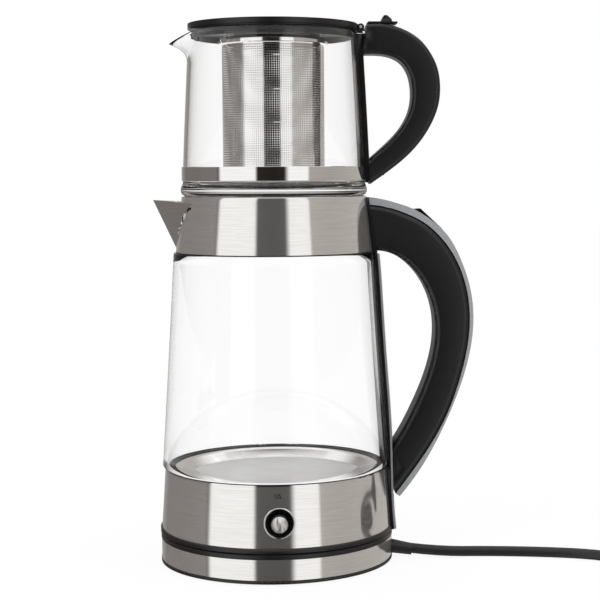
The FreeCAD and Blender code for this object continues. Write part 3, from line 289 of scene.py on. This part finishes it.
steel = brushedStainless("brushed stainless", "#e8e6e3", "#f1efed", 0.07, 0.1, 0.92)
brightSteel = brushedStainless("polished stainless", "#efeeec", "#f6f5f4", 0.03, 0.06)
plateSteel = brushedStainless("dull stainless dish", "#f8f7f5", "#ffffff", 0.4, 0.5, 0.15)
chromePlate = brushedStainless("chrome plate", "#e4e4e4", "#ececec", 0.03, 0.06)
zinc = brushedStainless("zinc plated screws", "#b4b2ae", "#c6c4c0", 0.25, 0.35)
castAluminium = mouldedAbs("cast aluminium", "#8f8f8f", "#a2a2a2", 0.5, 0.3)
blackAbs = mouldedAbs("black satin abs", "#0b0b0d", "#101012", 0.34, 0.12)
blackGloss = mouldedAbs("black gloss abs", "#08080a", "#0c0c0e", 0.16, 0.03)
greyAbs = mouldedAbs("silver grey abs", "#8b8d8f", "#959799", 0.3, 0.06)
softRubber = mouldedAbs("black rubber", "#161616", "#1c1c1c", 0.62, 0.2)
cordPvc = mouldedAbs("black pvc", "#131314", "#1a1a1b", 0.42, 0.1)
brassContact = brushedStainless("brass contacts", "#b08d45", "#c8a55a", 0.25, 0.35)
kettleGlass = clearGlass("kettle borosilicate", "#ffffff", 0.02)
potGlass = clearGlass("teapot borosilicate", "#ffffff", 0.02)
printBlack = mouldedAbs("screen print", "#0c0c0d", "#121213", 0.5, 0.02)
printGrey = mouldedAbs("faint level print", "#c4c4c6", "#cececf", 0.5, 0.02)
print("materials ready")


# Pieces

def finishMesh(name, mesh, material, body, slot, *replaced):
    mesh.materials.clear()
    mesh.materials.append(material)
    piece = bpy.data.objects.new(name, mesh)
    bpy.context.scene.collection.objects.link(piece)
    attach(piece, body)
    if replaced:
        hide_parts(*replaced)
    return piece


def smoothByAngle(mesh, degrees):
    mesh.shade_smooth()
    mesh.set_sharp_from_angle(angle=math.radians(degrees))


# A closed outline of (radius, height) turned about Z; a profile point may sit on the axis
def lathe(name, outline, steps=256, degrees=32, angles=None, skip=None, shift=None):
    if angles is None:
        angles = [2.0 * math.pi * i / steps for i in range(steps)]
    points = []
    faces = []
    count = len(outline)
    for angle in angles:
        for radius, height in outline:
            spot = Vector((radius * math.cos(angle), radius * math.sin(angle), height))
            points.append((shift(spot, angle) if shift else spot) * mm)
    for i in range(len(angles)):
        j = (i + 1) % len(angles)
        for k in range(count):
            m = (k + 1) % count
            corners = [i * count + k, j * count + k, j * count + m, i * count + m]
            if outline[k][0] < 1e-6 and outline[m][0] < 1e-6:
                continue
            if skip and skip(sum((points[c] for c in corners), Vector()) / 4 / mm):
                continue
            faces.append(corners)
    mesh = bpy.data.meshes.new(name)
    mesh.from_pydata(points, [], faces)
    shape = bmesh.new()
    shape.from_mesh(mesh)
    bmesh.ops.remove_doubles(shape, verts=shape.verts, dist=1e-6)
    bmesh.ops.recalc_face_normals(shape, faces=shape.faces)
    shape.to_mesh(mesh)
    shape.free()
    smoothByAngle(mesh, degrees)
    return mesh


# A merged, smooth-shaded copy of a CAD piece
def smoothCopy(node, material, body, slot, degrees=30):
    mesh = nodes[node].data.copy()
    shape = bmesh.new()
    shape.from_mesh(mesh)
    bmesh.ops.remove_doubles(shape, verts=shape.verts, dist=2e-6)
    shape.to_mesh(mesh)
    shape.free()
    smoothByAngle(mesh, degrees)
    return finishMesh(node.replace("_", "-"), mesh, material, body, slot, node)


def span(low, high, count):
    return [low + (high - low) * i / (count - 1) for i in range(count)]


def mixed(a, b, t):
    return a + (b - a) * t


# Round steel and glass

shellSizes = {
    "z": (23.6, 62.9), "r": (77.65, 75.0), "sheet": 0.8,
    "button": 39.8, "hole": 9.45,
}


def shellRadius(z):
    low, high = shellSizes["z"]
    return mixed(*shellSizes["r"], (z - low) / (high - low))


def makeShell():
    s = shellSizes
    low, high = s["z"]
    heights = [low] + span(29.0, 51.0, 50) + [high]
    outer = [(shellRadius(z), z) for z in heights]
    inner = [(r - s["sheet"], z) for r, z in reversed(outer)]
    front = [math.radians(-90 + d) for d in span(-9.0, 9.0, 46)]
    rest = [math.radians(-81 + 342.0 * i / 240) for i in range(1, 240)]

    def inHole(spot):
        return spot.y < 0 and math.hypot(spot.x, spot.z - s["button"]) < s["hole"]

    mesh = lathe("lower-shell", outer + inner, angles=front + rest, skip=inHole)
    finishMesh("lower-shell", mesh, steel, "kettle", "steel", "lower_shell")


def makeRing():
    outline = [(78.0, 3.1), (78.0, 16.4), (77.7, 16.7), (77.2, 16.7), (77.2, 2.8), (77.7, 2.8)]
    mesh = lathe("base-ring", outline)
    finishMesh("base-ring", mesh, steel, "base", "steel", "base_ring")


collarSizes = {"z": (208.8, 245.4), "r": (66.05, 61.75), "sheet": 0.8}


def collarRadius(z):
    c = collarSizes
    return mixed(c["r"][0], c["r"][1], (z - c["z"][0]) / (c["z"][1] - c["z"][0]))


def makeCollar():
    c = collarSizes
    low, high = c["z"]
    heights = span(low, high - 0.4, 24)
    outer = [(collarRadius(z), z) for z in heights] + [(c["r"][1] - 0.15, high)]
    inner = [(collarRadius(z) - c["sheet"], z) for z in [high] + heights[::-1]]

    def inSpout(spot):
        side = abs(math.atan2(spot.y, -spot.x))
        width = math.radians(30.0) * (spot.z - 213.5) / 25.0
        return spot.z < high - 7.0 and side < width

    mesh = lathe("collar", outer + inner, skip=inSpout)
    finishMesh("collar", mesh, steel, "kettle", "steel", "collar")


kettleSizes = {"z": (64.4, 208.1), "top": 67.6, "taper": 9.1, "wall": 3.0}


def kettleRadius(z):
    k = kettleSizes
    low, high = k["z"]
    share = (z - low) / (high - low)
    return k["top"] + k["taper"] * max(0.0, 1.0 - share) ** 1.08


def makeKettleGlass():
    heights = span(65.6, 207.3, 26)
    outer = [(kettleRadius(z), z) for z in heights]
    foot = [(73.9, 64.4), (75.9, 64.5)]
    rim = [(67.3, 207.9), (66.7, 208.1), (65.2, 208.1)]
    inner = [(kettleRadius(z) - kettleSizes["wall"], z) for z in heights[::-1]]
    mesh = lathe("kettle-glass", foot + outer + rim + inner, degrees=60)
    finishMesh("kettle-glass", mesh, kettleGlass, "kettle", "kettle_glass", "kettle_glass")


slopeStart = 59.0    # mm from the axis, where the dull dish ends and its polished slope begins


def makePlate():
    outline = [(0, 57.5), (57.5, 57.5), (59.2, 57.9), (63.6, 62.6), (65.2, 63.6), (74.8, 63.6),
               (74.8, 62.9), (64.9, 62.9), (58.9, 56.8), (0, 56.8)]
    mesh = lathe("heating-plate", outline, degrees=40)
    finishMesh("heating-plate", mesh, plateSteel, "kettle", "plate", "heating_plate")
    mesh.materials.append(brightSteel)
    for face in mesh.polygons:
        if face.center.xy.length > slopeStart * mm:
            face.material_index = 1


bezel = {"hole": 8.8, "outer": 10.0, "front": 77.51, "depth": 2.6, "z": 39.8}


# Turned about the button's axis: the lathe's height becomes the distance out of the shell
def makeBezel():
    b = bezel
    width = (b["outer"] - b["hole"]) / 2
    middle = b["hole"] + width
    crown = [(middle + width * math.cos(a), b["front"] - width * (1.0 - math.sin(a)))
             for a in span(0.0, math.pi, 13)]
    outline = [(b["outer"], b["front"] - b["depth"])] + crown + [(b["hole"], b["front"] - b["depth"])]
    mesh = lathe("button-bezel", outline, steps=96, degrees=50,
                 shift=lambda spot, angle: Vector((spot.x, -spot.z, spot.y + b["z"])))
    finishMesh("button-bezel", mesh, chromePlate, "kettle", "chrome", "button_bezel")


potSizes = {
    "low": 255.9, "top": 354.2, "wall": 2.4, "taper": 4.9, "r": 60.8,
    "lipReach": 13.4, "lipDrop": 8.0, "lipFoot": 334.0, "lipHalf": 27.0,
}


def potRadius(z):
    p = potSizes
    share = (z - p["low"]) / (p["top"] - p["low"])
    return p["r"] - p["taper"] * max(0.0, share) ** 1.15


def lipShift(spot, angle):
    p = potSizes
    side = abs(math.degrees(math.atan2(math.sin(angle - math.pi), math.cos(angle - math.pi))))
    if side > p["lipHalf"] or spot.z < p["lipFoot"]:
        return spot
    width = 1.0 - side / p["lipHalf"]
    width = width * width * (3.0 - 2.0 * width)
    rise = (spot.z - p["lipFoot"]) / (p["top"] - p["lipFoot"])
    reach = p["lipReach"] * width * rise ** 1.9
    drop = p["lipDrop"] * width * rise ** 1.6
    flat = Vector((spot.x, spot.y, 0)).normalized()
    return spot + flat * reach - Vector((0, 0, drop))


def makePotGlass():
    p = potSizes
    heights = span(p["low"], p["top"] - 0.8, 40)
    wall = [(potRadius(z), z) for z in heights]
    foot = [(0, 246.9), (56.2, 246.9), (57.6, 245.9), (59.5, 245.75), (61.3, 246.7), (62.1, 248.2),
            (62.3, 249.6), (62.1, 251.2), (61.5, 252.8), (60.9, 254.2)]
    rim = [(55.6, 354.0), (54.7, 354.2), (53.8, 353.9)]
    inner = [(r - p["wall"], z) for r, z in wall[::-1]]
    floor = [(57.6, 253.4), (56.2, 251.4), (53.5, 250.3), (50.0, 250.2), (0, 250.2)]
    mesh = lathe("pot-glass", foot + wall + rim + inner + floor, degrees=60, shift=lipShift)
    finishMesh("pot-glass", mesh, potGlass, "pot", "pot_glass", "pot_glass", "pot_glass_foot")


band = {"z": (255.9, 265.1), "r": (60.9, 61.5), "edge": 0.2}


def makeBand():
    low, high = band["z"]
    inner, outer = band["r"]
    edge = band["edge"]
    outline = [(outer, low + edge), (outer, high - edge), (outer - edge, high), (inner, high),
               (inner, low), (outer - edge, low)]
    mesh = lathe("pot-band", outline)
    finishMesh("pot-band", mesh, brightSteel, "pot", "steel", "pot_band")


neckRibs = {"count": 3, "low": 350.0, "pitch": 1.1}


def makeNeck():
    ribs = []
    for i in range(neckRibs["count"]):
        z = neckRibs["low"] + neckRibs["pitch"] * i
        ribs += [(31.5, z), (31.9, z + 0.25), (31.9, z + 0.6), (31.5, z + 0.85)]
    outline = [(31.1, 345.4), (36.4, 345.4), (36.7, 345.7), (36.7, 349.0), (36.4, 349.35), (32.0, 349.4)]
    outline += ribs + [(31.6, 355.2), (31.1, 355.2)]
    mesh = lathe("infuser-neck", outline, degrees=25)
    finishMesh("infuser-neck", mesh, brightSteel, "infuser", "steel", "infuser_neck")


basket = {
    "radius": 33.95, "low": 261.4, "columns": 140, "rows": 54, "pitch": 1.52, "hole": 0.47,
    "plain": 1.2, "sheet": (33.5, 34.0), "z": (261.0, 345.4),
}


# One square of sheet with a round hole, in the XZ plane and facing -Y
def perforatedCell():
    half = basket["pitch"] / 2 * mm
    hole = basket["hole"] * mm
    square = [(1, 0), (1, 1), (0, 1), (-1, 1), (-1, 0), (-1, -1), (0, -1), (1, -1)]
    points = [(x * half, 0, z * half) for x, z in square]
    for i in range(8):
        a = math.pi / 4 * i
        points.append((hole * math.cos(a), 0, hole * math.sin(a)))
    faces = [(i, (i + 1) % 8, 8 + (i + 1) % 8, 8 + i) for i in range(8)]
    mesh = bpy.data.meshes.new("perforated cell")
    mesh.from_pydata(points, [], faces)
    return bpy.data.objects.new("perforated cell", mesh)


def perforationTree(cell):
    tree = bpy.data.node_groups.new("perforated tube", "GeometryNodeTree")
    face = tree.interface
    face.new_socket("Geometry", in_out="INPUT", socket_type="NodeSocketGeometry")
    for name, kind in (("Columns", "NodeSocketInt"), ("Rows", "NodeSocketInt"),
                       ("Radius", "NodeSocketFloat"), ("Low", "NodeSocketFloat"),
                       ("Pitch", "NodeSocketFloat")):
        face.new_socket(name, in_out="INPUT", socket_type=kind)
    face.new_socket("Geometry", in_out="OUTPUT", socket_type="NodeSocketGeometry")
    given = addNode(tree, "NodeGroupInput").outputs

    def maths(operation, a, b=None):
        node = addNode(tree, "ShaderNodeMath", {"operation": operation})
        for i, value in enumerate((a, b)):
            if value is None:
                continue
            if isinstance(value, (int, float)):
                node.inputs[i].default_value = value
            else:
                tree.links.new(value, node.inputs[i])
        return node.outputs[0]

    total = maths("MULTIPLY", given["Columns"], given["Rows"])
    line = addNode(tree, "GeometryNodeMeshLine", links={"Count": total})
    index = addNode(tree, "GeometryNodeInputIndex").outputs[0]
    row = maths("FLOOR", maths("DIVIDE", index, given["Columns"]))
    column = maths("MODULO", index, given["Columns"])
    turn = maths("MULTIPLY", maths("DIVIDE", column, given["Columns"]), 2 * math.pi)
    rise = maths("ADD", given["Low"], maths("MULTIPLY", maths("ADD", row, 0.5), given["Pitch"]))
    place = addNode(tree, "ShaderNodeCombineXYZ",
                    links={"X": maths("MULTIPLY", given["Radius"], maths("COSINE", turn)),
                           "Y": maths("MULTIPLY", given["Radius"], maths("SINE", turn)),
                           "Z": rise})
    points = addNode(tree, "GeometryNodeSetPosition",
                     links={"Geometry": line.outputs[0], "Position": place.outputs[0]})
    facing = addNode(tree, "ShaderNodeCombineXYZ", links={"Z": maths("ADD", turn, math.pi / 2)})
    source = addNode(tree, "GeometryNodeObjectInfo")
    source.inputs["Object"].default_value = cell
    repeat = addNode(tree, "GeometryNodeInstanceOnPoints",
                     links={"Points": points.outputs[0], "Instance": source.outputs["Geometry"],
                            "Rotation": facing.outputs[0]})
    real = addNode(tree, "GeometryNodeRealizeInstances", links={0: repeat.outputs[0]})
    painted = addNode(tree, "GeometryNodeSetMaterial", links={"Geometry": real.outputs[0]})
    painted.inputs["Material"].default_value = brightSteel
    addNode(tree, "NodeGroupOutput", links={0: painted.outputs[0]})
    return tree


def makeBasket():
    b = basket
    cell = perforatedCell()
    holder = bpy.data.objects.new("basket holder", bpy.data.meshes.new("basket holder"))
    bpy.context.scene.collection.objects.link(holder)
    tree = perforationTree(cell)
    modifier = holder.modifiers.new("perforations", "NODES")
    modifier.node_group = tree
    sizes = {"Columns": b["columns"], "Rows": b["rows"], "Radius": b["radius"] * mm,
             "Low": (b["low"] + b["plain"]) * mm, "Pitch": b["pitch"] * mm}
    for socket in tree.interface.items_tree:
        if socket.in_out == "INPUT" and socket.name in sizes:
            modifier[socket.identifier] = sizes[socket.name]
    evaluated = holder.evaluated_get(bpy.context.evaluated_depsgraph_get())
    mesh = bpy.data.meshes.new_from_object(evaluated)
    bpy.data.objects.remove(holder)
    bpy.data.objects.remove(cell)
    mesh.name = "infuser-sheet"
    mesh.shade_smooth()
    finishMesh("infuser-sheet", mesh, brightSteel, "infuser", "steel", "infuser_basket")
    high = b["low"] + b["plain"] + b["rows"] * b["pitch"]
    low = b["low"] + b["plain"]
    inner, outer = b["sheet"]
    foot, head = b["z"]
    lowRing = [(outer, foot), (outer, low), (inner, low), (inner, foot)]
    topRing = [(outer, high), (outer, head), (inner, head), (inner, high)]
    for name, outline in (("infuser-hem", lowRing), ("infuser-top", topRing)):
        finishMesh(name, lathe(name, outline), brightSteel, "infuser", "steel")


makeShell()
makeRing()
makeCollar()
makeKettleGlass()
makePlate()
makeBezel()
makePotGlass()
makeBand()
makeNeck()
makeBasket()
print("round pieces ready")


# Mains cord: lead, coil and tail in one line

cordSizes = {"radius": 3.5, "length": 0.806}
lead = [(64.8, -6.8, 9.4), (102.1, -10.7, 3.5), (152.0, -13.5, 3.5), (207.0, -25.5, 3.5),
        (229.1, -42.1, 3.5)]
coil = {
    "centre": (276.0, -10.0), "radius": 42.0, "pitch": 7.6, "inTurns": 0.95, "climb": 0.5,
    "low": 3.5, "high": 11.1, "end": 18.3, "rise": 0.3, "first": -105.0, "perTurn": 16,
    "tail": 24.0, "tailOut": 5.6, "plugTurn": 0.45, "straight": 7.0,
}


def coilSpot(n):
    c = coil
    inner = c["radius"] - c["pitch"] * c["inTurns"]
    n1 = c["inTurns"]
    n2 = n1 + c["climb"]
    last = n2 + c["inTurns"]
    if n <= n1:
        radius, z = c["radius"] - c["pitch"] * n, c["low"]
    elif n <= n2:
        s = (n - n1) / c["climb"]
        radius = inner - c["pitch"] * c["climb"] * (s - s * s)
        z = mixed(c["low"], c["high"], s * s * (3.0 - 2.0 * s))
    else:
        s = max(0.0, (n - last + c["rise"]) / c["rise"])
        radius = inner + c["pitch"] * (n - n2)
        z = mixed(c["high"], c["end"], s * s * (3.0 - 2.0 * s))
    angle = math.radians(c["first"]) + 2 * math.pi * n
    return Vector((c["centre"][0] + radius * math.cos(angle),
                   c["centre"][1] + radius * math.sin(angle), z))


def cordPoints():
    total = 2 * coil["inTurns"] + coil["climb"]
    count = int(total * coil["perTurn"])
    turns = [coilSpot(total * i / count) for i in range(count + 1)]
    ahead = coilSpot(total) - coilSpot(total - 0.001)
    ahead.z = 0.0
    ahead.normalize()
    outward = Vector((ahead.y, -ahead.x, 0))
    toPlug = ahead * math.cos(coil["plugTurn"]) + outward * math.sin(coil["plugTurn"])
    tail = turns[-1] + ahead * coil["tail"] + outward * coil["tailOut"]
    start = (coilSpot(0.001) - coilSpot(0.0)).normalized()
    entry = turns[0] - start * coil["straight"]
    bend = turns[-1] + ahead * coil["tail"] / 2
    return [Vector(p) for p in lead] + [entry] + turns + [bend, tail, tail + toPlug * coil["straight"]]


def makeCord():
    points = cordPoints()
    data = bpy.data.curves.new("mains-cord", "CURVE")
    data.dimensions = "3D"
    line = data.splines.new("NURBS")
    line.points.add(len(points) - 1)
    for spot, point in zip(points, line.points):
        point.co = (*(spot * mm), 1.0)
    line.order_u = 3
    line.use_endpoint_u = True
    line.resolution_u = 6
    data.bevel_depth = cordSizes["radius"] * mm
    data.bevel_resolution = 6
    data.use_fill_caps = True
    data.materials.append(cordPvc)
    cord = bpy.data.objects.new("mains-cord", data)
    bpy.context.scene.collection.objects.link(cord)
    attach(cord, "base")
    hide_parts("cord_lead", "cord_coil")
    return cord


cord = makeCord()
gland = smoothCopy("cord_gland", cordPvc, "base", "cord", 40)
plug = smoothCopy("plug_body", cordPvc, "base", "cord", 40)
prongs = smoothCopy("plug_prongs", chromePlate, "base", "screws", 40)
print("cord ready")


# Everything else keeps the shape of its CAD piece

finishes = {
    "base": {
        "base_tray": (blackAbs, "black_plastic"), "base_cover": (blackAbs, "black_plastic"),
        "base_feet": (softRubber, "rubber"), "base_screws": (zinc, "screws"),
        "base_connector": (blackAbs, "black_plastic"), "base_contacts": (brassContact, "brass"),
    },
    "swivel": {"connector_sleeve": (blackAbs, "black_plastic")},
    "kettle": {
        "kettle_underside": (blackAbs, "black_plastic"), "kettle_socket": (blackAbs, "black_plastic"),
        "socket_contacts": (brassContact, "brass"), "control_block": (blackAbs, "black_plastic"),
        "heating_element": (castAluminium, "aluminium"), "heat_spreader": (castAluminium, "aluminium"),
        "lower_gasket": (softRubber, "rubber"), "upper_gasket": (softRubber, "rubber"),
        "kettle_spout": (brightSteel, "steel"), "spout_filter": (brightSteel, "steel"),
        "collar_liner": (blackAbs, "black_plastic"), "lid_pin": (zinc, "screws"),
        "button_well": (blackGloss, "black_gloss"), "micro_switch": (blackAbs, "black_plastic"),
        "handle_strap": (blackAbs, "black_plastic"), "strap_strip": (greyAbs, "grey_trim"),
        "handle_grip": (blackAbs, "black_plastic"), "handle_trim": (greyAbs, "grey_trim"),
        "release_pin": (zinc, "screws"), "handle_screws": (zinc, "screws"),
    },
    "kettle_lid": {"kettle_lid": (blackAbs, "black_plastic"), "lid_insert": (steel, "steel")},
    "power_button": {
        "power_button": (blackGloss, "black_gloss"), "button_cap": (spunSteel("spun steel"), "steel"),
    },
    "release_button": {"release_button": (blackGloss, "black_gloss")},
    "pot": {
        "pot_strap": (blackAbs, "black_plastic"), "pot_handle": (blackAbs, "black_plastic"),
        "clamp_screw": (zinc, "screws"),
    },
    "pot_slider": {"pot_slider": (blackAbs, "black_plastic")},
    "pot_top": {"mouth_ring": (blackAbs, "black_plastic"), "pot_lid_pin": (zinc, "screws")},
    "pot_lid": {"pot_lid": (blackAbs, "black_plastic")},
    "infuser": {"infuser_floor": (brightSteel, "steel")},
}

for body, pieces in finishes.items():
    for node, (material, slot) in pieces.items():
        smoothCopy(node, material, body, slot)


# The spring between the button's back and the floor of its well, on a mesh of its own
def makeSpring():
    spring = smoothCopy("button_spring", zinc, "kettle", "screws")
    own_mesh(spring)


makeSpring()
print("other pieces ready")


# Marks: heat waves over the button and level dashes on the teapot

def stripOn(name, lines, width, material, body, slot, surface):
    points = []
    faces = []
    for line in lines:
        first = len(points)
        for k, (x, z) in enumerate(line):
            ahead = Vector(line[min(k + 1, len(line) - 1)]) - Vector(line[max(k - 1, 0)])
            side = Vector((-ahead.y, ahead.x)).normalized() * width / 2
            for sign in (-1, 1):
                px, pz = x + side.x * sign, z + side.y * sign
                points.append(Vector((px, -math.sqrt(surface(pz) ** 2 - px * px), pz)) * mm)
        for k in range(len(line) - 1):
            a = first + 2 * k
            faces.append((a, a + 1, a + 3, a + 2))
    mesh = bpy.data.meshes.new(name)
    mesh.from_pydata(points, [], faces)
    shape = bmesh.new()
    shape.from_mesh(mesh)
    for face in shape.faces:
        if face.normal.y > 0:
            face.normal_flip()
    shape.to_mesh(mesh)
    shape.free()
    finishMesh(name, mesh, material, body, slot)


heatMark = {
    "x": -1.0, "z": 57.0, "apart": 1.5, "height": 3.4, "sway": 0.45, "width": 0.45, "proud": 0.08,
}


def makeHeatMark():
    h = heatMark
    waves = []
    for i in (-1, 0, 1):
        waves.append([(h["x"] + i * h["apart"] + h["sway"] * math.sin(t * 2 * math.pi),
                       h["z"] + h["height"] * (t - 0.5)) for t in span(0, 1, 13)])
    stripOn("heat-mark", waves, h["width"], printBlack, "kettle", "black_plastic",
            lambda z: shellRadius(z) + h["proud"])


levelMarks = {"x": (-1.0, 3.5), "z": (335.5, 314.0, 293.0), "width": 0.5, "proud": 0.04}


def makeLevelMarks():
    m = levelMarks
    dashes = [[(x, z) for x in span(*m["x"], 5)] for z in m["z"]]
    stripOn("level-marks", dashes, m["width"], printGrey, "pot", "black_plastic",
            lambda z: potRadius(z) + m["proud"])


makeHeatMark()
makeLevelMarks()
print("marks ready")
